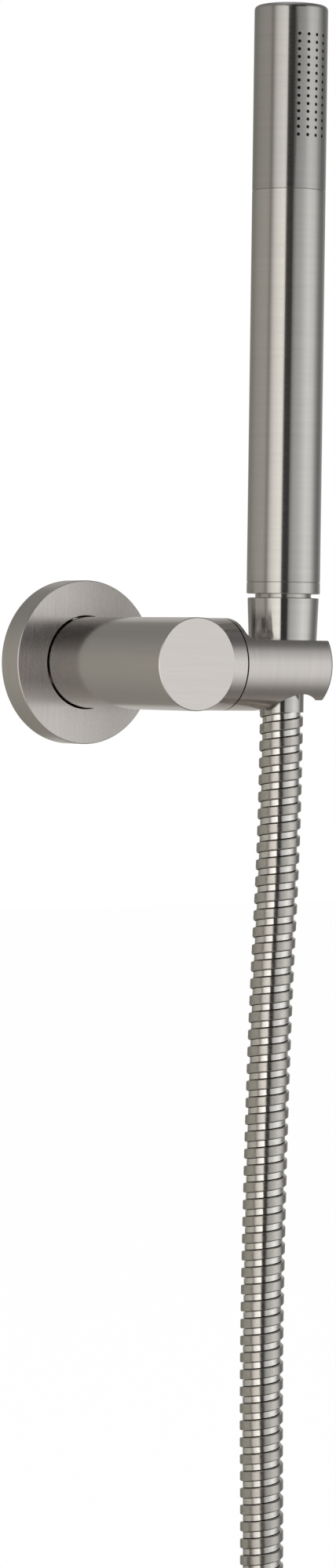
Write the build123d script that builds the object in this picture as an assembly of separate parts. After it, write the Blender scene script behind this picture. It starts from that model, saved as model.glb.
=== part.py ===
from build123d import *
import os
from math import cos, pi, radians, sin, tan

# Wall-mounted hand shower set: a round bracket with a swivelling holder, a stick hand shower
# that stands in it, and an interlocked metal hose whose spare length is coiled and tied.
# Millimetres. Origin: centre of the flange's back face on the wall.
# +X runs along the wall towards the holder, -Y out from the wall, +Z up.

# Clearances
fit_clear = 0.05          # radial, between pieces that are pushed or screwed together
running_clear = 0.3       # between the free-turning nut and what it turns on
groove_room = 0.2         # each side of a sealing ring in its groove
seam_chamfer = 0.2        # broken edge where two shells meet

# Bracket
post_d = 30.0
post_reach = 72.4         # wall to the post's front face
edge_break = 0.25         # chamfer on the bracket's visible edges
flange_d = 54.0
flange_t = 9.5
flange_wall = 2.0
flange_shadow_gap = 0.5   # open ring between flange and post
plate_t = 4.0
plate_spigot_d = 20.0
plate_spigot_l = 12.0
spigot_end_gap = 0.5
wall_screw_d = 5.0
wall_screw_head_d = 9.0
wall_screw_circle_d = 38.0
wall_screw_count = 3
grub_d = 5.0
grub_key_d = 2.5          # across flats of the grub screws' hexagon socket
grub_key_depth = 2.0
grub_tip_chamfer = 0.4
grub_recess = 0.3         # how far a grub screw sits below the surface
post_grub_from_plate = 8.5

# Swivel joint
collar_reach = 20.2       # post axis to the joint face
joint_line = 0.3          # thickness of the thrust washer
washer_d = 27.0
pivot_d = 16.0
pivot_l = 25.0
pivot_end_gap = 1.0
pivot_groove_w = 5.4
pivot_groove_depth = 1.5
pivot_groove_from_joint = 13.0
pivot_ring_d = 1.8        # section of the friction rings
pivot_ring_offsets = (4.0, 21.5)

# Holder arm
arm_end = 54.7            # post axis to the arm's end face
arm_flat_z = 8.1          # flat top above the arm's axis
arm_step_from_joint = 1.4
arm_step_fillet = 3.0
arm_end_round = 1.2
mouth_w = 19.6            # opening at the arm's end, narrower than the nut
relief_d = 23.4           # wider bore under the seat
relief_top_z = -7.0

# Hand shower
wand_x = 44.8             # post axis to the hand shower's axis
wand_d = 24.0
wand_wall = 1.2
wand_top_z = 214.5
head_seam_z = 154.4
ring_top_z = 27.0         # top of the ring below the body tube
ring_bottom_z = 23.2
head_round = 1.5
plug_l = 11.0             # fitting's length inside the body tube
coupling_l = 16.0
coupling_bore_d = 16.0
seal_d = 2.0              # section of the hand shower's sealing rings
seal_inset = 4.5          # sealing ring's distance from the seam it seals
waterway_d = 12.0
valve_l = 11.0
valve_from_inlet = 3.0
valve_port_d = 8.0
valve_port_depth = 4.0

# Spray nozzles
nozzle_columns = 4
nozzle_rows = 14
nozzle_pitch_deg = 15.5
nozzle_pitch_z = 2.5
nozzle_top_z = 204.3
nozzle_hole_d = 1.1
nozzle_tip_d = 0.95
nozzle_tip_inset = 0.08
strip_t = 1.4
strip_margin_deg = 9.0
strip_margin_z = 3.0

# Conical nut and the hose's upper end
nut_top_d = 23.3
nut_half_angle = 2.2
nut_top_z = 21.9
nut_bottom_z = -8.5
thread_d = 20.8           # outside of the hose thread
thread_bore_d = 20.9
neck_d = 18.3             # undercut above the thread
neck_l = 3.0
washer_t = 2.0
washer_bore_d = 10.0
tail_flange_t = 2.0
tail_flange_z = 7.5
tail_stem_d = 8.0
tail_bore_d = 5.6
ferrule_d = 14.4
ferrule_bottom_z = -15.4

# Hose: hanging run, coil, end run
hose_d = 14.0
hose_bore_d = 8.4
hose_route_xz = [
    (wand_x, ferrule_bottom_z), (wand_x, -52.0), (41.9, -112.0), (40.6, -172.0),
    (40.2, -232.0), (41.7, -292.0), (41.8, -345.0), (41.8, -391.0),
]
coil_mean_d = 168.0
coil_turns = 2
coil_corner_r = 5.0       # rounding of the bundle's edges
coil_slot_clear = 0.3
tie_t = 1.2
tie_w = 12.0
end_run_l = 46.0
lower_ferrule_l = 18.0

# Nut at the hose's lower end
lower_nut_af = 24.0       # across flats
lower_nut_l = 17.0
lower_nut_bore_d = 18.7   # inside of the thread
lower_nut_relief_d = 19.4 # wider pocket for the washer and the hose tail's flange
lower_nut_web = 2.5
hex_corner_chamfer = 1.0

# Places that follow from the sizes above
post_r = post_d / 2
wand_r = wand_d / 2
wand_bore_r = wand_r - wand_wall
arm_y = -(post_reach - post_r)
arm_start = collar_reach + joint_line
thread_start_z = tail_flange_z + tail_flange_t + washer_t
coil_x, coil_z = hose_route_xz[-1]
coil_center_x = coil_x - coil_mean_d / 2
end_run_y = arm_y + coil_turns * hose_d
bundle_y = (arm_y + end_run_y) / 2
end_run_z = coil_z - end_run_l
lower_ferrule_z = end_run_z - lower_ferrule_l
lower_nut_top_z = lower_ferrule_z + running_clear + lower_nut_web
lower_washer_z = lower_ferrule_z - tail_flange_t - running_clear - washer_t

# Frames: pieces are turned about Z and then set on their own axis
out_of_wall = Rot(90, 0, 0)
along_arm = Pos(0, arm_y, 0) * Rot(0, 90, 0)
on_wand = Pos(wand_x, arm_y, 0)
on_end_run = Pos(coil_x, end_run_y, 0)


def rod(diameter, z_low, z_high):
    """Round bar on the Z axis."""
    return Pos(0, 0, z_low) * Cylinder(
        diameter / 2, z_high - z_low, align=(Align.CENTER, Align.CENTER, Align.MIN))


def tube(outer_d, inner_d, z_low, z_high):
    """Round tube on the Z axis."""
    return rod(outer_d, z_low, z_high) - rod(inner_d, z_low - 1, z_high + 1)


def turned(outline):
    """Solid of revolution about Z from (radius, z) points."""
    return revolve(make_face(Plane.XZ * Polyline(*outline, close=True)), Axis.Z)


def o_ring(mean_r, section_d, z):
    return Pos(0, 0, z) * Torus(mean_r, section_d / 2)


def ring_groove(outer_r, depth, width, z):
    """Groove cut into the outside of a round bar."""
    return tube(2 * outer_r + 2, 2 * (outer_r - depth), z - width / 2, z + width / 2)


def grub_screw(length):
    """Headless screw with its socket at z = 0 and its tip above."""
    key = extrude(RegularPolygon(grub_key_d / 2, 6, major_radius=False), grub_key_depth)
    shank = rod(grub_d - 2 * fit_clear, 0, length)
    return chamfer(shank.edges().sort_by(Axis.Z)[-1], grub_tip_chamfer) - key


def nut_radius(z):
    """Outside radius of the conical nut at a height."""
    return nut_top_d / 2 - (nut_top_z - z) * tan(radians(nut_half_angle))


# Bracket

def make_wall_plate():
    plate_r = flange_d / 2 - flange_wall - 2 * fit_clear
    plate = rod(2 * plate_r, 0, plate_t) + rod(plate_spigot_d, plate_t, plate_t + plate_spigot_l)
    countersink = (wall_screw_head_d - wall_screw_d) / 2
    screw_hole = rod(wall_screw_d, -1, plate_t + 1) + turned([
        (0, plate_t - countersink), (wall_screw_d / 2, plate_t - countersink),
        (wall_screw_head_d / 2, plate_t), (0, plate_t)])
    for place in PolarLocations(wall_screw_circle_d / 2, wall_screw_count, start_angle=90):
        plate -= place * screw_hole
    return out_of_wall * plate


def make_flange():
    shell = rod(flange_d, 0, flange_t)
    shell = chamfer(shell.edges().sort_by(Axis.Z)[-1], edge_break)
    shell -= rod(flange_d - 2 * flange_wall, -1, flange_t - flange_wall)
    return out_of_wall * (shell - rod(post_d + 2 * flange_shadow_gap, 0, flange_t + 1))


def make_post():
    body = rod(post_d, plate_t, post_reach)
    body = out_of_wall * chamfer(body.edges().sort_by(Axis.Z)[-1], edge_break)
    collar = rod(post_d, 0, collar_reach)
    body += along_arm * chamfer(collar.edges().sort_by(Axis.Z)[-1], edge_break)
    body -= out_of_wall * rod(
        plate_spigot_d + 2 * fit_clear, plate_t - 1, plate_t + plate_spigot_l + spigot_end_gap)
    body -= along_arm * rod(
        pivot_d + 2 * fit_clear, arm_start - pivot_l - pivot_end_gap, collar_reach + 1)
    for place in (post_grub_place(), pivot_grub_place()):
        body -= place * rod(grub_d, -1, post_r)
    return body


def post_grub_place():
    """Entry of the screw that bears on the plate's spigot, under the post."""
    return Pos(0, -(plate_t + post_grub_from_plate), -post_r)


def pivot_grub_place():
    """Entry of the screw that enters the pivot's groove, under the collar."""
    return Pos(arm_start - pivot_groove_from_joint, arm_y, -post_r)


def make_post_set_screw():
    length = post_r - plate_spigot_d / 2 - grub_recess - fit_clear
    return post_grub_place() * Pos(0, 0, grub_recess) * grub_screw(length)


def make_pivot_screw():
    tip_r = pivot_d / 2 - pivot_groove_depth + running_clear
    return pivot_grub_place() * Pos(0, 0, grub_recess) * grub_screw(post_r - grub_recess - tip_r)


# Holder

def make_thrust_washer():
    return along_arm * tube(washer_d, pivot_d + 2 * fit_clear, collar_reach, arm_start)


def pivot_ring_r():
    return pivot_d / 2 - pivot_ring_d / 2


def pivot_stem():
    """Pivot with the screw's groove and the grooves of the friction rings."""
    stem = rod(pivot_d, arm_start - pivot_l, arm_start)
    stem -= ring_groove(
        pivot_d / 2, pivot_groove_depth, pivot_groove_w, arm_start - pivot_groove_from_joint)
    for offset in pivot_ring_offsets:
        stem -= ring_groove(
            pivot_d / 2, pivot_ring_d + fit_clear, pivot_ring_d + 2 * groove_room, arm_start - offset)
    return stem


def make_holder_arm():
    arm = along_arm * rod(post_d, arm_start, arm_end) - arm_top_cut()
    arm = fillet(arm.faces().sort_by(Axis.X)[-1].edges(), arm_end_round)
    return arm + along_arm * pivot_stem() - seat_cut() - mouth_cut()


def arm_top_cut():
    """Everything above the flat top, with a rounded step at the joint end."""
    step_x = arm_start + arm_step_from_joint
    far_x = arm_end + post_d
    outline = make_face(Plane.XZ * Polyline(
        (step_x, post_d), (step_x, arm_flat_z), (far_x, arm_flat_z), (far_x, post_d), close=True))
    inner_corner = outline.vertices().sort_by_distance((step_x, 0, arm_flat_z))[0]
    return Pos(0, arm_y, 0) * extrude(fillet(inner_corner, arm_step_fillet), post_d, both=True)


def seat_cut():
    """Conical seat for the nut, with a wider relief below it."""
    high, low = arm_flat_z + 1, -post_r
    seat = turned([
        (0, low), (nut_radius(low) + fit_clear, low),
        (nut_radius(high) + fit_clear, high), (0, high)])
    return on_wand * (seat + rod(relief_d, low, relief_top_z))


def mouth_cut():
    """Way out for the hose through the arm's end."""
    return on_wand * Pos(arm_end / 2, 0, 0) * Box(arm_end, mouth_w, 2 * post_d)


def make_pivot_o_rings():
    rings = [o_ring(pivot_ring_r(), pivot_ring_d, arm_start - offset)
             for offset in pivot_ring_offsets]
    return along_arm * Compound(rings)


# Hose's upper end

def make_cone_nut():
    bore_r = thread_bore_d / 2
    hole_r = ferrule_d / 2 + fit_clear
    return on_wand * turned([
        (hole_r, nut_bottom_z), (nut_radius(nut_bottom_z), nut_bottom_z),
        (nut_radius(nut_top_z - seam_chamfer), nut_top_z - seam_chamfer),
        (nut_radius(nut_top_z) - seam_chamfer, nut_top_z), (bore_r, nut_top_z),
        (bore_r, tail_flange_z), (hole_r, tail_flange_z)])


def hose_tail(flange_d_mm, flange_z, stem_z):
    """Flanged nipple: flange from flange_z up, stem from stem_z to the flange."""
    nipple = rod(flange_d_mm, flange_z, flange_z + tail_flange_t) + rod(tail_stem_d, stem_z, flange_z)
    return nipple - rod(tail_bore_d, stem_z - 1, flange_z + tail_flange_t + 1)


def make_upper_hose_tail():
    return on_wand * hose_tail(thread_bore_d - 4 * fit_clear, tail_flange_z, ferrule_bottom_z)


def make_upper_ferrule():
    return on_wand * tube(
        ferrule_d, tail_stem_d + 2 * fit_clear, ferrule_bottom_z, tail_flange_z)


def make_inlet_washer():
    return on_wand * tube(
        thread_bore_d - 4 * fit_clear, washer_bore_d, tail_flange_z + tail_flange_t, thread_start_z)


# Hand shower

def make_inlet_fitting():
    plug_d = 2 * (wand_bore_r - fit_clear)
    body = rod(thread_d, thread_start_z, ring_bottom_z) + rod(plug_d, ring_top_z, ring_top_z + plug_l)
    ring = rod(wand_d, ring_bottom_z, ring_top_z)
    body += chamfer(ring.edges().group_by(Axis.Z)[0] + ring.edges().group_by(Axis.Z)[-1], seam_chamfer)
    body -= ring_groove(
        thread_d / 2, (thread_d - neck_d) / 2, neck_l, ring_bottom_z - neck_l / 2)
    body -= ring_groove(
        plug_d / 2, seal_d + fit_clear, seal_d + 2 * groove_room, ring_top_z + seal_inset)
    return on_wand * (body - rod(waterway_d, thread_start_z - 1, ring_top_z + plug_l + 1))


def make_inlet_o_ring():
    return on_wand * o_ring(wand_bore_r - fit_clear - seal_d / 2, seal_d, ring_top_z + seal_inset)


def make_check_valve():
    low = thread_start_z + valve_from_inlet
    valve = rod(waterway_d - 2 * fit_clear, low, low + valve_l)
    valve -= rod(valve_port_d, low - 1, low + valve_port_depth)
    return on_wand * (valve - rod(valve_port_d, low + valve_l - valve_port_depth, low + valve_l + 1))


def make_body_tube():
    shell = rod(wand_d, ring_top_z, head_seam_z)
    shell = chamfer(shell.edges().group_by(Axis.Z)[0] + shell.edges().group_by(Axis.Z)[-1], seam_chamfer)
    return on_wand * (shell - rod(2 * wand_bore_r, ring_top_z - 1, head_seam_z + 1))


def make_coupling():
    sleeve_d = 2 * (wand_bore_r - fit_clear)
    sleeve = tube(
        sleeve_d, coupling_bore_d, head_seam_z - coupling_l / 2, head_seam_z + coupling_l / 2)
    groove = ring_groove(
        sleeve_d / 2, seal_d + fit_clear, seal_d + 2 * groove_room, head_seam_z + seal_inset)
    return on_wand * (sleeve - groove)


def make_head_o_ring():
    return on_wand * o_ring(wand_bore_r - fit_clear - seal_d / 2, seal_d, head_seam_z + seal_inset)


def nozzle_places():
    """(angle, height) of every nozzle; angle 0 faces straight out from the wall."""
    middle = (nozzle_columns - 1) / 2
    for column in range(nozzle_columns):
        for row in range(nozzle_rows):
            yield (column - middle) * nozzle_pitch_deg, nozzle_top_z - row * nozzle_pitch_z


def nozzle_pin(diameter, r_low, r_high, angle, z):
    """Radial pin through the head's wall at one nozzle."""
    return Pos(0, 0, z) * Rot(0, 0, angle) * Rot(90, 0, 0) * rod(diameter, r_low, r_high)


def make_head_tube():
    shell = rod(wand_d, head_seam_z, wand_top_z)
    shell = fillet(shell.edges().sort_by(Axis.Z)[-1], head_round)
    shell = chamfer(shell.edges().sort_by(Axis.Z)[0], seam_chamfer)
    shell -= rod(2 * wand_bore_r, head_seam_z - 1, wand_top_z - wand_wall - 1)
    holes = [nozzle_pin(nozzle_hole_d, wand_bore_r - 1, wand_r + 1, angle, z)
             for angle, z in nozzle_places()]
    return on_wand * (shell - holes)


def make_nozzle_strip():
    places = list(nozzle_places())
    low = min(z for _, z in places) - strip_margin_z
    high = max(z for _, z in places) + strip_margin_z
    half_angle = max(angle for angle, _ in places) + strip_margin_deg
    outer_r = wand_bore_r - fit_clear
    ring = tube(2 * outer_r, 2 * (outer_r - strip_t), low, high)
    reach = 2 * wand_r
    wedge = make_face(Polyline(
        (0, 0), (reach * sin(radians(half_angle)), -reach * cos(radians(half_angle))),
        (-reach * sin(radians(half_angle)), -reach * cos(radians(half_angle))), close=True))
    strip = ring & extrude(Pos(0, 0, low) * wedge, high - low)
    tips = [nozzle_pin(nozzle_tip_d, outer_r - strip_t / 2, wand_r - nozzle_tip_inset, angle, z)
            for angle, z in places]
    return on_wand * (strip + tips)


# Hose

def route_radii(points):
    """One radius for each corner: as large as its two runs allow."""
    radii = []
    for before, corner, after in zip(points, points[1:], points[2:]):
        run_in = Vector(*corner) - Vector(*before)
        run_out = Vector(*after) - Vector(*corner)
        half_turn = radians(run_in.get_angle(run_out)) / 2
        radii.append(0.45 * min(run_in.length, run_out.length) / tan(half_turn))
    return radii


def make_hose_run():
    points = [(x, arm_y, z) for x, z in hose_route_xz]
    radii = route_radii(points)
    path = FilletPolyline(*points, radius=radii)
    section = Pos(*points[0]) * (Circle(hose_d / 2) - Circle(hose_bore_d / 2))
    run = sweep(section, path)
    expected = pi / 4 * (hose_d ** 2 - hose_bore_d ** 2) * path.length
    print("hose radii:", [round(radius) for radius in radii])
    print("hose volume over section times length:", round(run.volume / expected, 4))
    print("hose length:", round(path.length + coil_turns * pi * coil_mean_d + end_run_l))
    return run


def bundle_section(clearance):
    """Outline of the turns lying side by side along X, with some room round it."""
    return RectangleRounded(
        (coil_turns + 1) * hose_d + 2 * clearance, hose_d + 2 * clearance, coil_corner_r + clearance)


def make_hose_coil():
    top_of_ring = Pos(coil_center_x, bundle_y, coil_z + coil_mean_d / 2)
    section = top_of_ring * (Plane.YZ * bundle_section(0))
    ring = revolve(section, Axis((coil_center_x, 0, coil_z), (0, 1, 0)))
    return ring - strand_space(arm_y, -1, Align.MIN) - strand_space(end_run_y, 1, Align.MAX)


def strand_space(strand_y, outward, z_align):
    """Room beside the turns for a straight strand that leaves the ring upwards or downwards."""
    width = 2 * hose_d + 2 * coil_slot_clear
    space = Box(coil_mean_d / 2, width, coil_mean_d, align=(Align.MAX, Align.CENTER, z_align))
    return Pos(coil_x + hose_d, strand_y + outward * hose_d / 2, coil_z) * space


def make_coil_tie():
    band = bundle_section(coil_slot_clear + tie_t) - bundle_section(coil_slot_clear)
    return Pos(coil_x, bundle_y, coil_z) * Rot(0, 0, 90) * extrude(band, tie_w / 2, both=True)


def make_hose_end_run():
    return on_end_run * tube(hose_d, hose_bore_d, end_run_z, coil_z)


def make_lower_ferrule():
    return on_end_run * tube(
        ferrule_d, tail_stem_d + 2 * fit_clear, lower_ferrule_z, end_run_z)


def make_lower_hose_tail():
    nipple = hose_tail(lower_nut_bore_d - 2 * fit_clear, 0, -lower_ferrule_l)
    return on_end_run * Pos(0, 0, lower_ferrule_z) * Rot(180, 0, 0) * nipple


def make_lower_nut():
    low = lower_nut_top_z - lower_nut_l
    corner_d = lower_nut_af / cos(pi / 6)
    hexagon = Pos(0, 0, low) * extrude(
        RegularPolygon(lower_nut_af / 2, 6, major_radius=False), lower_nut_l)
    rounded = rod(corner_d, low, lower_nut_top_z)
    rounded = chamfer(rounded.edges().group_by(Axis.Z)[0] + rounded.edges().group_by(Axis.Z)[-1],
                      hex_corner_chamfer)
    nut = hexagon & rounded
    nut -= rod(lower_nut_bore_d, low - 1, lower_washer_z)
    nut -= rod(lower_nut_relief_d, lower_washer_z, lower_nut_top_z - lower_nut_web)
    return on_end_run * (nut - rod(ferrule_d + 2 * running_clear, low, lower_nut_top_z + 1))


def make_lower_washer():
    return on_end_run * tube(
        lower_nut_relief_d - 2 * fit_clear, washer_bore_d, lower_washer_z, lower_washer_z + washer_t)


parts = {
    "wall_plate": make_wall_plate,
    "flange": make_flange,
    "post": make_post,
    "post_set_screw": make_post_set_screw,
    "pivot_screw": make_pivot_screw,
    "thrust_washer": make_thrust_washer,
    "holder_arm": make_holder_arm,
    "pivot_o_rings": make_pivot_o_rings,
    "cone_nut": make_cone_nut,
    "upper_hose_tail": make_upper_hose_tail,
    "upper_ferrule": make_upper_ferrule,
    "inlet_washer": make_inlet_washer,
    "inlet_fitting": make_inlet_fitting,
    "inlet_o_ring": make_inlet_o_ring,
    "check_valve": make_check_valve,
    "body_tube": make_body_tube,
    "coupling": make_coupling,
    "head_o_ring": make_head_o_ring,
    "head_tube": make_head_tube,
    "nozzle_strip": make_nozzle_strip,
    "hose_run": make_hose_run,
    "hose_coil": make_hose_coil,
    "coil_tie": make_coil_tie,
    "hose_end_run": make_hose_end_run,
    "lower_ferrule": make_lower_ferrule,
    "lower_hose_tail": make_lower_hose_tail,
    "lower_nut": make_lower_nut,
    "lower_washer": make_lower_washer,
}

os.makedirs("parts", exist_ok=True)
for name, make in parts.items():
    export_step(make(), f"parts/{name}.step")
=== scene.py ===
import bpy
import math
import numpy as np
from mathutils import Matrix, Vector


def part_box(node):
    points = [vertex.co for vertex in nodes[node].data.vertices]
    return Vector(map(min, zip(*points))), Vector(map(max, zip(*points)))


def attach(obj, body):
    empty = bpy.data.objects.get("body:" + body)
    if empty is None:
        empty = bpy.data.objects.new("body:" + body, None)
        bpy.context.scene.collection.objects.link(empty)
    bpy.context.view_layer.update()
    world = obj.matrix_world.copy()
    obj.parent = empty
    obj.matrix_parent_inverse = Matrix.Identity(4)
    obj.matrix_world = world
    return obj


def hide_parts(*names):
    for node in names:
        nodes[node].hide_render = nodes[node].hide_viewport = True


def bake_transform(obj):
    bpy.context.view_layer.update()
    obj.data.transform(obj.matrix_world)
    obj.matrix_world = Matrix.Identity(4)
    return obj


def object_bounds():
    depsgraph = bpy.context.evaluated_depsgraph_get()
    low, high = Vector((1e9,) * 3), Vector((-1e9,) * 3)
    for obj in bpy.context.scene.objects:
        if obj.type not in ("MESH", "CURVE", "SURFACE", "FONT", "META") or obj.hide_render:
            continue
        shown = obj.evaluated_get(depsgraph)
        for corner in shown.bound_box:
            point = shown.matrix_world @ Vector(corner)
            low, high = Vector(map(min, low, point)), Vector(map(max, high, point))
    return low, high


# Wall-mounted hand shower set in brushed nickel, in metres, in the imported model's own frame:
# +X along the wall towards the holder, -Y out from the wall, +Z up.

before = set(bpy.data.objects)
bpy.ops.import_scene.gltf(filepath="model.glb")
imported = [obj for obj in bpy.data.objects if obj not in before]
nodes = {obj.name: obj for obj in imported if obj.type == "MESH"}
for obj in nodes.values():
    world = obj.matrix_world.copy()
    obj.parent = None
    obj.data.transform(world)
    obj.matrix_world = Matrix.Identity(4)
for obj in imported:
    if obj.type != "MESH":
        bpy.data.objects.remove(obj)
cad_low, cad_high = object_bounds()
MM = 0.001

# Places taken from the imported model
wand_low, wand_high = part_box("body_tube")
wand_x = (wand_low.x + wand_high.x) / 2
arm_y = (wand_low.y + wand_high.y) / 2
ferrule_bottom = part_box("upper_ferrule")[0].z
lower_ferrule_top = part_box("lower_ferrule")[1].z
object_bottom = cad_low.z
post_radius = -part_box("post")[0].x

# Hose
hose_pitch = 5.57 * MM
hose_steps_per_turn = 32
hose_turn = math.radians(-135)  # where round the hose the strip starts
hose_tuck = 7.0 * MM            # how far the hose reaches into its ferrules
hose_crisp = math.radians(25)   # edges of the strip that turn by more than this stay sharp
line_steps = 24                 # points read from the hose's line between two of its control points
coil_mean_d = 168 * MM
coil_turns = 2
coil_points_per_turn = 16
coil_strand_gap = 14 * MM
hose_route_xz = [
    (wand_x, ferrule_bottom), (wand_x, -0.052), (0.0419, -0.112), (0.0406, -0.172),
    (0.0402, -0.232), (0.0417, -0.292), (0.0418, -0.345), (0.0418, -0.391),
]

# Strip profile over one pitch, going down the hose: (share of the pitch, radius, finish from there on). The
# crevice finish is painted shade: a dark colour in the gaps between the turns, where shade falls
band, groove, crevice = range(3)
hose_profile = [
    (0.000, 6.00 * MM, band), (0.012, 6.80 * MM, band), (0.058, 7.10 * MM, band),
    (0.532, 7.10 * MM, band), (0.588, 6.82 * MM, crevice), (0.598, 5.70 * MM, crevice),
    (0.624, 5.70 * MM, crevice), (0.634, 6.20 * MM, groove), (0.966, 6.20 * MM, crevice),
    (0.976, 5.80 * MM, crevice),
]

# Tie round the coil's strands
tie_t = 1.1 * MM
tie_edge = 0.3 * MM             # bevel along the strap's edges
tie_corner_r = 5.5 * MM
tie_corner_steps = 8
tie_lap = 14 * MM               # how far the free end lies over the strap's start
tie_lift = 6 * MM               # length over which the strap climbs on to its start
tie_climb = 1.05 * tie_t        # how far it climbs
tie_step = 0.5 * MM
tie_blunt = 0.97                # where the free end's half round is cut off, as a share of its radius
tie_crisp = math.radians(30)

# Finishes
noise_low, noise_high = 0.3, 0.7                # most of a noise lies between these
fine_lines = (0.30 * MM, 14 * MM)               # brushed lines: how far apart they are, and how long
broad_lines = (1.6 * MM, 45 * MM)
broad_straight_lines = (1.0 * MM, 30 * MM)
across_lines = 0.25                             # turn from the lines to where reflections spread
front_normal_y = -0.97                          # a face that looks out from the wall is below this
metal_grains = 900.0                            # grains to the metre
mould_grains = 1500.0
threads = (2500.0, 2500.0, 900.0)               # threads of the webbing to the metre, along X, Y and Z
along_x, along_y, along_z = (1.0, 0.0, 0.0), (0.0, 1.0, 0.0), (0.0, 0.0, 1.0)

nickel = (0.68, 0.665, 0.64)
head_nickel = (0.59, 0.577, 0.56)
bracket_nickel = (0.70, 0.665, 0.645)
# painted light: a lighter copy of the bracket's nickel, so the flange reads brighter
flange_nickel_painted_light = (0.73, 0.695, 0.67)
band_metal = (0.64, 0.615, 0.58)
groove_metal = (0.93, 0.91, 0.88)
# painted shade: dark colour for the gaps between the hose strip's turns, where shade falls
crevice_painted_shade = (0.22, 0.20, 0.18)
brass = (0.70, 0.55, 0.27)
steel = (0.45, 0.45, 0.45)
black = (0.03, 0.03, 0.03)
nozzle_black = (0.006, 0.006, 0.006)
plastic_white = (0.80, 0.80, 0.78)
webbing_grey = (0.075, 0.075, 0.08)

# Camera of the photograph
camera_place = (-0.8758, -1.2912, 0.0049)
camera_yaw = math.radians(35.36)
camera_pitch = math.radians(1.65)
camera_roll = math.radians(0.77)
camera_lens = 108.0
camera_sensor = 36.0

# Room and lamps: (name, place, size, power)
world_light = 0.85
floor_size = 12.0
floor_gap = 2 * MM
floor_grey = 0.97
floor_white = 0.97              # share of plain white where the floor is seen or mirrored
lamps = [("key", (-1.6, -1.2, 1.5), 1.2, 30.0), ("fill", (1.6, -1.6, 0.8), 1.0, 14.0)]
lamp_target = Vector((0.02, -0.05, 0.0))

# Studio tent round the object, seen only in reflections. Its level band has panels that go by the angle
# from the photograph's camera, positive to its right: (angle, level, tint). Above and below are ends, with
# levels that go by the angle above the level and by the angle from the camera. The band's share goes by
# the angle above the level. A dark flag covers part of the upper front, with a share that goes by both
warm = (1.0, 0.95, 0.86)
olive = (1.0, 0.98, 0.88)
cream = (1.0, 0.975, 0.93)
neutral = (1.0, 1.0, 0.99)
tent_round = [
    (-180, 0.60, cream), (-168, 0.60, cream), (-163, 0.25, olive), (-136, 0.25, olive),
    (-110, 0.36, olive), (-92, 0.40, olive), (-74, 0.43, warm), (-65, 0.38, warm), (-60, 0.24, warm),
    (-55, 0.38, warm), (-48, 0.70, cream), (-38, 0.93, cream), (-19, 1.13, cream),
    (-10.6, 1.09, cream), (-8, 0.035, warm), (12, 0.04, neutral), (15, 0.28, neutral),
    (24, 0.50, neutral), (40, 0.62, neutral), (68, 0.90, neutral), (88, 0.77, neutral),
    (110, 0.30, neutral), (122, 0.19, neutral), (134, 0.19, neutral), (148, 0.32, neutral),
    (160, 0.36, neutral), (166, 0.60, cream), (180, 0.60, cream),
]
tent_band = [
    (-90, 0.0), (-55, 0.03), (-45, 0.22), (-35, 0.58), (-20, 0.95), (-6, 1.00), (6, 0.97), (25, 0.62),
    (38, 0.10), (48, 0.0), (90, 0.0),
]
tent_ends = [
    (-90, 0.34, warm), (-30, 0.34, warm), (20, 0.25, neutral), (60, 0.24, neutral),
    (78, 0.55, neutral), (90, 0.60, neutral),
]
tent_ends_round = [
    (-180, 1.0, neutral), (-40, 1.0, neutral), (20, 0.7, neutral), (60, 0.55, neutral),
    (105, 0.55, neutral), (140, 1.0, neutral), (180, 1.0, neutral),
]
flag_round = [(-4, 0.0), (4, 1.0), (44, 1.0), (58, 0.0)]
flag_rise = [(12, 0.0), (20, 1.0), (42, 1.0), (50, 0.0)]
flag_color = (0.03, 0.03, 0.03, 1.0)
tent_radius = 3.0
tent_sides = 96
tent_top = 2.6
tent_gap = 1 * MM


# Node helpers

def empty_tree(owner):
    owner.use_nodes = True
    owner.node_tree.nodes.clear()
    return owner.node_tree


def feed(tree, value, socket):
    """Links another node's output to a socket, or sets the socket to a fixed value."""
    if isinstance(value, bpy.types.NodeSocket):
        tree.links.new(value, socket)
    else:
        socket.default_value = value


def new_material(name):
    material = bpy.data.materials.new(name)
    tree = empty_tree(material)
    output = tree.nodes.new("ShaderNodeOutputMaterial")
    shader = tree.nodes.new("ShaderNodeBsdfPrincipled")
    tree.links.new(shader.outputs["BSDF"], output.inputs["Surface"])
    return material, tree, shader


def math_node(tree, operation, *values):
    node = tree.nodes.new("ShaderNodeMath")
    node.operation = operation
    for value, socket in zip(values, node.inputs):
        feed(tree, value, socket)
    return node.outputs["Value"]


def product(tree, first, second):
    node = tree.nodes.new("ShaderNodeVectorMath")
    node.operation = "MULTIPLY"
    tree.links.new(first, node.inputs[0])
    tree.links.new(second, node.inputs[1])
    return node.outputs["Vector"]


def choose(tree, kind, share, first, second):
    """Value, vector or colour that goes from first to second as share goes from 0 to 1."""
    node = tree.nodes.new("ShaderNodeMix")
    node.data_type = kind
    sockets = [socket for socket in node.inputs if socket.enabled]
    for value, socket in zip((share, first, second), sockets):
        feed(tree, value, socket)
    return next(socket for socket in node.outputs if socket.enabled)


def stretched_noise(tree, scale, detail=3.0):
    """Noise with a scale of its own along each axis of the object."""
    place = tree.nodes.new("ShaderNodeTexCoord")
    stretch = tree.nodes.new("ShaderNodeMapping")
    stretch.inputs["Scale"].default_value = scale
    noise = tree.nodes.new("ShaderNodeTexNoise")
    noise.inputs["Scale"].default_value = 1.0
    noise.inputs["Detail"].default_value = detail
    tree.links.new(place.outputs["Object"], stretch.inputs["Vector"])
    tree.links.new(stretch.outputs["Vector"], noise.inputs["Vector"])
    return noise.outputs["Fac"]


def round_noise(tree, axis, pitch, length):
    """Noise in lines that run round an axis, pitch apart along it."""
    scale = [1 / length] * 3
    scale["XYZ".index(axis)] = 1 / pitch
    return stretched_noise(tree, scale)


def straight_noise(tree, way, pitch, length):
    """Noise in lines that run along one axis, pitch apart across it."""
    return stretched_noise(tree, [1 / length if along else 1 / pitch for along in way])


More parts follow.
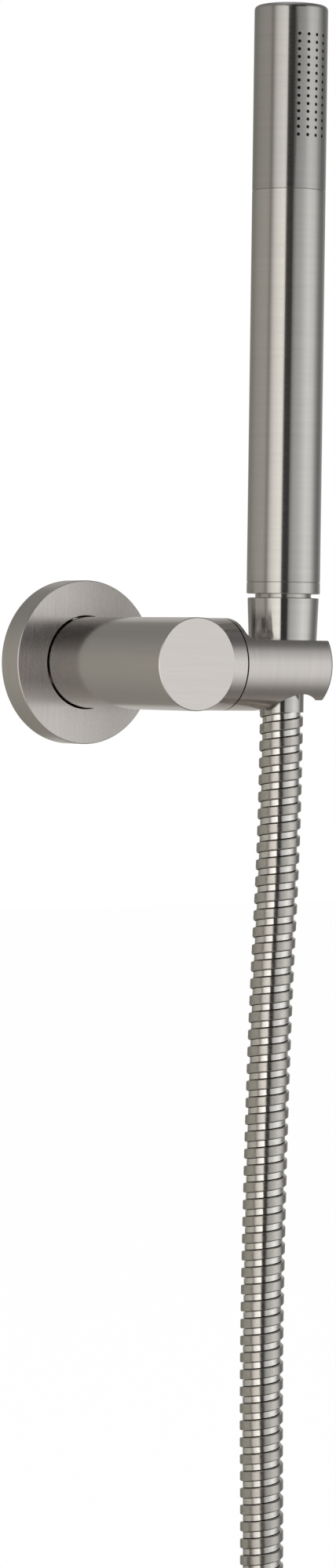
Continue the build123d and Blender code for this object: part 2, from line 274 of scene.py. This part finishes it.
def ramp(tree, value, low, high):
    """Colour between low and high as a noise goes over its usual range."""
    node = tree.nodes.new("ShaderNodeValToRGB")
    start, end = node.color_ramp.elements
    start.position = noise_low
    end.position = noise_high
    start.color = (*low, 1)
    end.color = (*high, 1)
    tree.links.new(value, node.inputs["Fac"])
    return node.outputs["Color"]


def spread(tree, value, low, high):
    """Number between low and high as a noise goes over its usual range."""
    node = tree.nodes.new("ShaderNodeMapRange")
    node.inputs["From Min"].default_value = noise_low
    node.inputs["From Max"].default_value = noise_high
    node.inputs["To Min"].default_value = low
    node.inputs["To Max"].default_value = high
    tree.links.new(value, node.inputs["Value"])
    return node.outputs["Result"]


def bump(tree, shader, value, strength, distance):
    node = tree.nodes.new("ShaderNodeBump")
    node.inputs["Strength"].default_value = strength
    node.inputs["Distance"].default_value = distance
    tree.links.new(value, node.inputs["Height"])
    tree.links.new(node.outputs["Normal"], shader.inputs["Normal"])


def below(tree, source, axis, limit):
    """1 where one part of the object's own place or normal is below a limit, else 0."""
    place = tree.nodes.new("ShaderNodeTexCoord")
    parts = tree.nodes.new("ShaderNodeSeparateXYZ")
    tree.links.new(place.outputs[source], parts.inputs["Vector"])
    return math_node(tree, "LESS_THAN", parts.outputs[axis], limit)


def front_face(tree):
    return below(tree, "Normal", "Y", front_normal_y)


def post_stem(tree):
    """The post without the collar that stands out from its side."""
    return below(tree, "Object", "X", post_radius)


# Making the finishes

def scaled(color, share):
    return tuple(min(1.0, share * c) for c in color)


def brushed_metal(name, color, axis, roughness, anisotropy, contrast, grain=0.2, zones=()):
    """Metal brushed round an axis of the object, and along a straight line in each zone."""
    material, tree, shader = new_material(name)
    fine = round_noise(tree, axis, *fine_lines)
    broad = round_noise(tree, axis, *broad_lines)
    tangent = tree.nodes.new("ShaderNodeTangent")
    tangent.direction_type = "RADIAL"
    tangent.axis = axis
    along = tangent.outputs["Tangent"]
    for inside, way in zones:
        share = inside(tree)
        fine = choose(tree, "FLOAT", share, fine, straight_noise(tree, way, *fine_lines))
        broad = choose(tree, "FLOAT", share, broad, straight_noise(tree, way, *broad_straight_lines))
        along = choose(tree, "VECTOR", share, along, way)
    shades = ramp(tree, broad, scaled(color, 1 - contrast), scaled(color, 1 + contrast))
    gloss = spread(tree, fine, (1 - grain) * roughness, (1 + grain) * roughness)
    tree.links.new(shades, shader.inputs["Base Color"])
    tree.links.new(gloss, shader.inputs["Roughness"])
    tree.links.new(along, shader.inputs["Tangent"])
    shader.inputs["Metallic"].default_value = 1.0
    shader.inputs["Anisotropic"].default_value = anisotropy
    shader.inputs["Anisotropic Rotation"].default_value = across_lines
    return material


def plain_metal(name, color, roughness, dark=0.92, light=1.06, smooth=0.85, rough=1.2):
    material, tree, shader = new_material(name)
    grains = stretched_noise(tree, (metal_grains,) * 3)
    shades = ramp(tree, grains, scaled(color, dark), scaled(color, light))
    gloss = spread(tree, grains, smooth * roughness, rough * roughness)
    tree.links.new(shades, shader.inputs["Base Color"])
    tree.links.new(gloss, shader.inputs["Roughness"])
    shader.inputs["Metallic"].default_value = 1.0
    return material


def moulded(name, color, roughness, shine=0.5, dark=0.85, smooth=0.9, rough=1.1):
    material, tree, shader = new_material(name)
    grains = stretched_noise(tree, (mould_grains,) * 3)
    shades = ramp(tree, grains, scaled(color, dark), color)
    gloss = spread(tree, grains, smooth * roughness, rough * roughness)
    tree.links.new(shades, shader.inputs["Base Color"])
    tree.links.new(gloss, shader.inputs["Roughness"])
    bump(tree, shader, grains, strength=0.2, distance=0.05 * MM)
    shader.inputs["Specular IOR Level"].default_value = shine
    return material


def woven(name, color, roughness, dark=0.5):
    material, tree, shader = new_material(name)
    weave = stretched_noise(tree, threads, detail=1.0)
    tree.links.new(ramp(tree, weave, scaled(color, dark), color), shader.inputs["Base Color"])
    bump(tree, shader, weave, strength=0.6, distance=0.3 * MM)
    shader.inputs["Roughness"].default_value = roughness
    return material


def dress_nodes():
    upright = brushed_metal("brushed_nickel_upright", nickel, "Z",
                            roughness=0.20, anisotropy=0.85, contrast=0.022, grain=0.14)
    nut = brushed_metal("brushed_nickel_nut", nickel, "Z", roughness=0.13, anisotropy=0.7, contrast=0.03)
    head = brushed_metal("brushed_nickel_head", head_nickel, "Z",
                         roughness=0.19, anisotropy=0.85, contrast=0.028, grain=0.16)
    post = brushed_metal("brushed_nickel_post", bracket_nickel, "Y",
                         roughness=0.17, anisotropy=0.8, contrast=0.015, grain=0.1,
                         zones=[(post_stem, along_y), (front_face, along_x)])
    # painted light: the flange's colour is a lighter copy of the bracket's nickel
    flange = brushed_metal("brushed_nickel_flange_painted_light", flange_nickel_painted_light, "Y",
                           roughness=0.27, anisotropy=0.85, contrast=0.015, grain=0.1,
                           zones=[(front_face, along_z)])
    arm = brushed_metal("brushed_nickel_arm", bracket_nickel, "X",
                        roughness=0.22, anisotropy=0.8, contrast=0.02, grain=0.15)
    turned_brass = plain_metal("turned_brass", brass, roughness=0.3)
    screw_steel = plain_metal("screw_steel", steel, roughness=0.35)
    rubber = moulded("black_rubber", black, roughness=0.6)
    plastic = moulded("white_plastic", plastic_white, roughness=0.45)
    nozzle_rubber = moulded("nozzle_rubber", nozzle_black, roughness=0.6, shine=0.15)
    # partly a black coated plate, partly painted shade: it is black so the gap round the post reads dark
    gap_shade_coat = moulded("plate_coat", black, roughness=0.5, shine=0.3)
    users = [
        (upright, ("inlet_fitting", "body_tube", "lower_ferrule", "lower_nut")),
        (nut, ("cone_nut", "upper_ferrule")),
        (head, ("head_tube",)),
        (post, ("post",)),
        (flange, ("flange",)),
        (arm, ("holder_arm",)),
        (turned_brass, ("upper_hose_tail", "coupling", "lower_hose_tail")),
        (screw_steel, ("post_set_screw", "pivot_screw")),
        (rubber, ("pivot_o_rings", "inlet_washer", "inlet_o_ring", "head_o_ring", "lower_washer")),
        (plastic, ("thrust_washer", "check_valve")),
        (nozzle_rubber, ("nozzle_strip",)),
        # the black wall plate also stands in for the shade in the gap round the post
        (gap_shade_coat, ("wall_plate",)),
    ]
    for finish, names in users:
        for name in names:
            slots = nodes[name].material_slots
            if not slots:
                nodes[name].data.materials.append(finish)
            for slot in slots:
                slot.material = finish


# Mesh helpers

def add_mesh(name, vertices, faces, crisp):
    """Smooth mesh whose edges stay sharp where they turn by more than the angle given."""
    mesh = bpy.data.meshes.new(name)
    mesh.from_pydata(vertices, [], faces)
    mesh.polygons.foreach_set("use_smooth", [True] * len(faces))
    mesh.set_sharp_from_angle(angle=crisp)
    mesh.update()
    return mesh


def add_object(mesh):
    piece = bpy.data.objects.new(mesh.name, mesh)
    bpy.context.collection.objects.link(piece)
    return piece


def distances(points):
    """Length along a row of points, from the first."""
    return np.concatenate([[0.0], np.cumsum(np.linalg.norm(np.diff(points, axis=0), axis=1))])


def along_row(s, reach, values):
    """Values of a row of points, read at the lengths s."""
    return np.stack([np.interp(s, reach, column) for column in values.T], axis=-1)


# Making the hose

def coil_points():
    """Control points of the turns, from the hanging run round to the end run."""
    start_x, start_z = hose_route_xz[-1]
    center_x = start_x - coil_mean_d / 2
    radius = coil_mean_d / 2 / math.cos(math.pi / coil_points_per_turn)
    points = []
    for step in range(1, coil_turns * coil_points_per_turn):
        turn = step / coil_points_per_turn
        angle = 2 * math.pi * turn
        points.append((center_x + radius * math.cos(angle), arm_y + turn * coil_strand_gap,
                       start_z - radius * math.sin(angle)))
    return points


def hose_route():
    run = [(x, arm_y, z) for x, z in hose_route_xz]
    end_x, end_z = hose_route_xz[-1]
    end_y = arm_y + coil_turns * coil_strand_gap
    end_run = [(end_x, end_y, end_z), (end_x, end_y, (end_z + lower_ferrule_top) / 2),
               (end_x, end_y, lower_ferrule_top)]
    return run + coil_points() + end_run


def spline_points(route):
    """Points read from a smooth spline that has the route as its control points."""
    curve = bpy.data.curves.new("hose_line", "CURVE")
    curve.dimensions = "3D"
    spline = curve.splines.new("NURBS")
    spline.points.add(len(route) - 1)
    for point, place in zip(spline.points, route):
        point.co = (*place, 1.0)
    spline.order_u = 3
    spline.use_endpoint_u = True
    spline.resolution_u = line_steps
    line = bpy.data.objects.new("hose_line", curve)
    bpy.context.collection.objects.link(line)
    bpy.context.view_layer.update()
    mesh = bpy.data.meshes.new_from_object(line.evaluated_get(bpy.context.evaluated_depsgraph_get()))
    points = np.array([vertex.co[:] for vertex in mesh.vertices])
    bpy.data.objects.remove(line)
    bpy.data.meshes.remove(mesh)
    bpy.data.curves.remove(curve)
    return points


def carried_frames(points):
    """Tangent and two cross directions at each point, turned as little as possible."""
    tangents = np.gradient(points, axis=0)
    tangents /= np.linalg.norm(tangents, axis=1)[:, None]
    side = np.array([1.0, 0.0, 0.0])
    sides = np.empty_like(points)
    for index, tangent in enumerate(tangents):
        side = side - tangent * side.dot(tangent)
        side /= np.linalg.norm(side)
        sides[index] = side
    return tangents, sides, np.cross(tangents, sides)


def strip_vertices(points):
    """Rows of the strip's profile, turned and moved on step by step along the points."""
    reach = distances(points)
    length = reach[-1]
    tangents, sides, others = carried_frames(points)
    index = np.arange(int((length + 2 * hose_tuck) / hose_pitch * hose_steps_per_turn))
    angle = (hose_turn + 2 * np.pi * index / hose_steps_per_turn)[:, None, None]
    shares = np.array([share for share, _, _ in hose_profile])
    radii = np.array([radius for _, radius, _ in hose_profile])
    s = hose_pitch * (index[:, None] / hose_steps_per_turn + shares) - hose_tuck
    inside = np.clip(s, 0, length)
    centre = along_row(inside, reach, points)
    centre += along_row(inside, reach, tangents) * (s - inside)[..., None]
    outward = along_row(inside, reach, sides) * np.cos(angle)
    outward += along_row(inside, reach, others) * np.sin(angle)
    outward /= np.linalg.norm(outward, axis=-1)[..., None]
    return centre + outward * radii[:, None]


def strip_faces(rows):
    """Faces of the strip with the finish of each. A turn's last column joins the next turn's first."""
    faces, finishes = [], []
    wide = len(hose_profile)
    for row in range(rows - 1):
        for column, (_, _, finish) in enumerate(hose_profile):
            beyond = row + hose_steps_per_turn if column == wide - 1 else row
            if beyond + 1 >= rows:
                continue
            after = (column + 1) % wide
            faces.append((row * wide + column, (row + 1) * wide + column,
                          (beyond + 1) * wide + after, beyond * wide + after))
            finishes.append(finish)
    return faces, finishes


def hose_mesh(points):
    """Helical surface of the interlocked strip along the points."""
    vertices = strip_vertices(points)
    faces, finishes = strip_faces(len(vertices))
    mesh = add_mesh("hose", vertices.reshape(-1, 3).tolist(), faces, hose_crisp)
    mesh.polygons.foreach_set("material_index", finishes)
    mesh.materials.append(plain_metal("hose_band", band_metal, roughness=0.18))
    mesh.materials.append(plain_metal("hose_groove", groove_metal, roughness=0.12))
    # painted shade in the gaps between the strip's turns
    mesh.materials.append(plain_metal("hose_crevice_painted_shade", crevice_painted_shade, roughness=0.5))
    return mesh


def make_hose(strap):
    points = spline_points(hose_route())
    hose = add_object(hose_mesh(points))
    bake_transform(hose)
    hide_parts("hose_run", "hose_coil", "hose_end_run")


# Making the tie

def tie_round(half_x, half_y):
    """Points and outward directions of the strap's middle line, once round the strands from +X."""
    corners = [(half_x, half_y), (-half_x, half_y), (-half_x, -half_y), (half_x, -half_y)]
    points, ways = [(half_x, 0.0)], [(1.0, 0.0)]
    for quarter, (x, y) in enumerate(corners):
        center_x = x - math.copysign(tie_corner_r, x)
        center_y = y - math.copysign(tie_corner_r, y)
        for step in range(tie_corner_steps + 1):
            angle = math.pi / 2 * (quarter + step / tie_corner_steps)
            way = (math.cos(angle), math.sin(angle))
            points.append((center_x + tie_corner_r * way[0], center_y + tie_corner_r * way[1]))
            ways.append(way)
    points.append(points[0])
    ways.append(ways[0])
    return np.array(points), np.array(ways)


def tie_line(low, high):
    """Points and outward directions along the strap, once round the strands and over its start."""
    middle = (low + high) / 2
    points, ways = tie_round((high.x - low.x - tie_t) / 2, (high.y - low.y - tie_t) / 2)
    reach = distances(points)
    once = reach[-1]
    along = np.arange(0, once + tie_lap, tie_step)
    place = along_row(np.mod(along, once), reach, points)
    way = along_row(np.mod(along, once), reach, ways)
    climb = np.clip((along - once + tie_lift) / tie_lift, 0, 1)
    place += way * (tie_climb * climb * climb * (3 - 2 * climb))[:, None]
    return place + np.array([middle.x, middle.y]), way, along


def tie_mesh(low, high):
    """Woven strap with a rounded free end."""
    place, way, along = tie_line(low, high)
    half = (high.z - low.z) / 2
    level = (low.z + high.z) / 2
    into_end = np.clip(1 - (along[-1] - along) / half, 0, tie_blunt)
    half_widths = half * np.sqrt(1 - into_end ** 2)
    face = tie_t / 2
    rim = face - tie_edge
    section = [(-1, 0, -rim), (-1, tie_edge, -face), (1, -tie_edge, -face), (1, 0, -rim),
               (1, 0, rim), (1, -tie_edge, face), (-1, tie_edge, face), (-1, 0, rim)]
    vertices, faces = [], []
    for (x, y), (out_x, out_y), half_width in zip(place, way, half_widths):
        for side, inset, out in section:
            vertices.append((x + out * out_x, y + out * out_y, level + side * half_width + inset))
    wide = len(section)
    for row in range(len(place) - 1):
        for column in range(wide):
            after = (column + 1) % wide
            faces.append((row * wide + column, row * wide + after,
                          (row + 1) * wide + after, (row + 1) * wide + column))
    last = (len(place) - 1) * wide
    faces.append(tuple(range(wide))[::-1])
    faces.append(tuple(range(last, last + wide)))
    return add_mesh("tie_strap", vertices, faces, tie_crisp)


def make_tie():
    low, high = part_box("coil_tie")
    mesh = tie_mesh(low, high)
    mesh.materials.append(woven("tie_webbing", webbing_grey, roughness=0.85))
    strap = add_object(mesh)
    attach(strap, "bracket")
    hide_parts("coil_tie")
    return strap


# Making the camera and the studio

def make_camera():
    forward = Vector((math.sin(camera_yaw) * math.cos(camera_pitch),
                      math.cos(camera_yaw) * math.cos(camera_pitch), -math.sin(camera_pitch)))
    level = Vector((math.cos(camera_yaw), -math.sin(camera_yaw), 0))
    upright = level.cross(forward)
    right = level * math.cos(camera_roll) + upright * math.sin(camera_roll)
    up = upright * math.cos(camera_roll) - level * math.sin(camera_roll)
    data = bpy.data.cameras.new("camera")
    data.lens = camera_lens
    data.sensor_width = camera_sensor
    camera = bpy.data.objects.new("camera", data)
    bpy.context.collection.objects.link(camera)
    camera.matrix_world = Matrix((
        (right.x, up.x, -forward.x, camera_place[0]),
        (right.y, up.y, -forward.y, camera_place[1]),
        (right.z, up.z, -forward.z, camera_place[2]), (0, 0, 0, 1)))
    bpy.context.scene.camera = camera


def seen_directly(tree):
    """1 for camera, glossy and transmission rays, 0 for the light that falls on things."""
    path = tree.nodes.new("ShaderNodeLightPath")
    seen = math_node(tree, "MAXIMUM", path.outputs["Is Camera Ray"], path.outputs["Is Glossy Ray"])
    return math_node(tree, "MAXIMUM", seen, path.outputs["Is Transmission Ray"])


def mixed_shader(tree, share, first, second, output):
    """Sends first to the output where share is 0, and second where it is 1."""
    mix = tree.nodes.new("ShaderNodeMixShader")
    tree.links.new(share, mix.inputs["Fac"])
    tree.links.new(first, mix.inputs[1])
    tree.links.new(second, mix.inputs[2])
    tree.links.new(mix.outputs["Shader"], output.inputs["Surface"])


def make_world():
    world = bpy.data.worlds.new("studio")
    bpy.context.scene.world = world
    tree = empty_tree(world)
    output = tree.nodes.new("ShaderNodeOutputWorld")
    soft = tree.nodes.new("ShaderNodeBackground")
    soft.inputs["Strength"].default_value = world_light
    white = tree.nodes.new("ShaderNodeBackground")
    white.inputs["Color"].default_value = (1, 1, 1, 1)
    mixed_shader(tree, seen_directly(tree), soft.outputs["Background"], white.outputs["Background"], output)


def make_floor():
    material = bpy.data.materials.new("floor")
    tree = empty_tree(material)
    output = tree.nodes.new("ShaderNodeOutputMaterial")
    matte = tree.nodes.new("ShaderNodeBsdfDiffuse")
    matte.inputs["Color"].default_value = (floor_grey, floor_grey, floor_grey, 1)
    white = tree.nodes.new("ShaderNodeEmission")
    share = math_node(tree, "MULTIPLY", seen_directly(tree), floor_white)
    mixed_shader(tree, share, matte.outputs["BSDF"], white.outputs["Emission"], output)
    bpy.ops.mesh.primitive_plane_add(size=floor_size, location=(0, 0, object_bottom - floor_gap))
    floor = bpy.context.object
    floor.name = "floor"
    floor.data.materials.append(material)


def angle_ramp(tree, angle, half_range, stops):
    """Colours along an angle that runs from minus to plus half_range, in degrees."""
    share = tree.nodes.new("ShaderNodeMapRange")
    share.inputs["From Min"].default_value = -math.radians(half_range)
    share.inputs["From Max"].default_value = math.radians(half_range)
    node = tree.nodes.new("ShaderNodeValToRGB")
    marks = node.color_ramp.elements
    while len(marks) < len(stops):
        marks.new(0.5)
    for mark, (degrees, color) in zip(marks, stops):
        mark.position = (degrees + half_range) / (2 * half_range)
        mark.color = (*color, 1)
    tree.links.new(angle, share.inputs["Value"])
    tree.links.new(share.outputs["Result"], node.inputs["Fac"])
    return node.outputs["Color"]


def tinted(stops):
    return [(degrees, tuple(level * c for c in tint)) for degrees, level, tint in stops]


def greys(stops):
    return [(degrees, (level,) * 3) for degrees, level in stops]


def tent_material():
    material = bpy.data.materials.new("tent")
    tree = empty_tree(material)
    output = tree.nodes.new("ShaderNodeOutputMaterial")
    glow = tree.nodes.new("ShaderNodeEmission")
    place = tree.nodes.new("ShaderNodeTexCoord")
    unit = tree.nodes.new("ShaderNodeVectorMath")
    unit.operation = "NORMALIZE"
    parts = tree.nodes.new("ShaderNodeSeparateXYZ")
    tree.links.new(place.outputs["Object"], unit.inputs[0])
    tree.links.new(unit.outputs["Vector"], parts.inputs["Vector"])
    towards_camera = math_node(tree, "MULTIPLY", parts.outputs["Y"], -1.0)
    turn = math_node(tree, "ARCTAN2", parts.outputs["X"], towards_camera)
    rise = math_node(tree, "ARCSINE", parts.outputs["Z"])
    panels = angle_ramp(tree, turn, 180, tinted(tent_round))
    ends = product(tree, angle_ramp(tree, rise, 90, tinted(tent_ends)),
                   angle_ramp(tree, turn, 180, tinted(tent_ends_round)))
    lit = choose(tree, "RGBA", angle_ramp(tree, rise, 90, greys(tent_band)), ends, panels)
    flag = product(tree, angle_ramp(tree, turn, 180, greys(flag_round)),
                   angle_ramp(tree, rise, 90, greys(flag_rise)))
    tree.links.new(choose(tree, "RGBA", flag, lit, flag_color), glow.inputs["Color"])
    tree.links.new(glow.outputs["Emission"], output.inputs["Surface"])
    return material


def make_tent():
    bpy.ops.mesh.primitive_cylinder_add(vertices=tent_sides, radius=tent_radius, depth=1)
    tent = bpy.context.object
    tent.name = "tent"
    for vertex in tent.data.vertices:
        vertex.co.z = tent_top if vertex.co.z > 0 else object_bottom - tent_gap
    tent.location = (wand_x, arm_y, 0)
    tent.rotation_euler = (0, 0, -camera_yaw)
    tent.data.materials.append(tent_material())
    tent.visible_camera = False
    tent.visible_diffuse = False
    tent.visible_shadow = False
    tent.visible_transmission = False


def make_lights():
    for name, place, size, power in lamps:
        data = bpy.data.lights.new(name, "AREA")
        data.size = size
        data.energy = power
        lamp = bpy.data.objects.new(name, data)
        lamp.visible_glossy = False
        bpy.context.collection.objects.link(lamp)
        lamp.location = place
        lamp.rotation_mode = "QUATERNION"
        lamp.rotation_quaternion = (lamp_target - lamp.location).to_track_quat("-Z", "Y")


bpy.context.scene.view_settings.view_transform = "Standard"
make_camera()
make_world()
make_floor()
make_tent()
make_lights()
make_hose(make_tie())
dress_nodes()
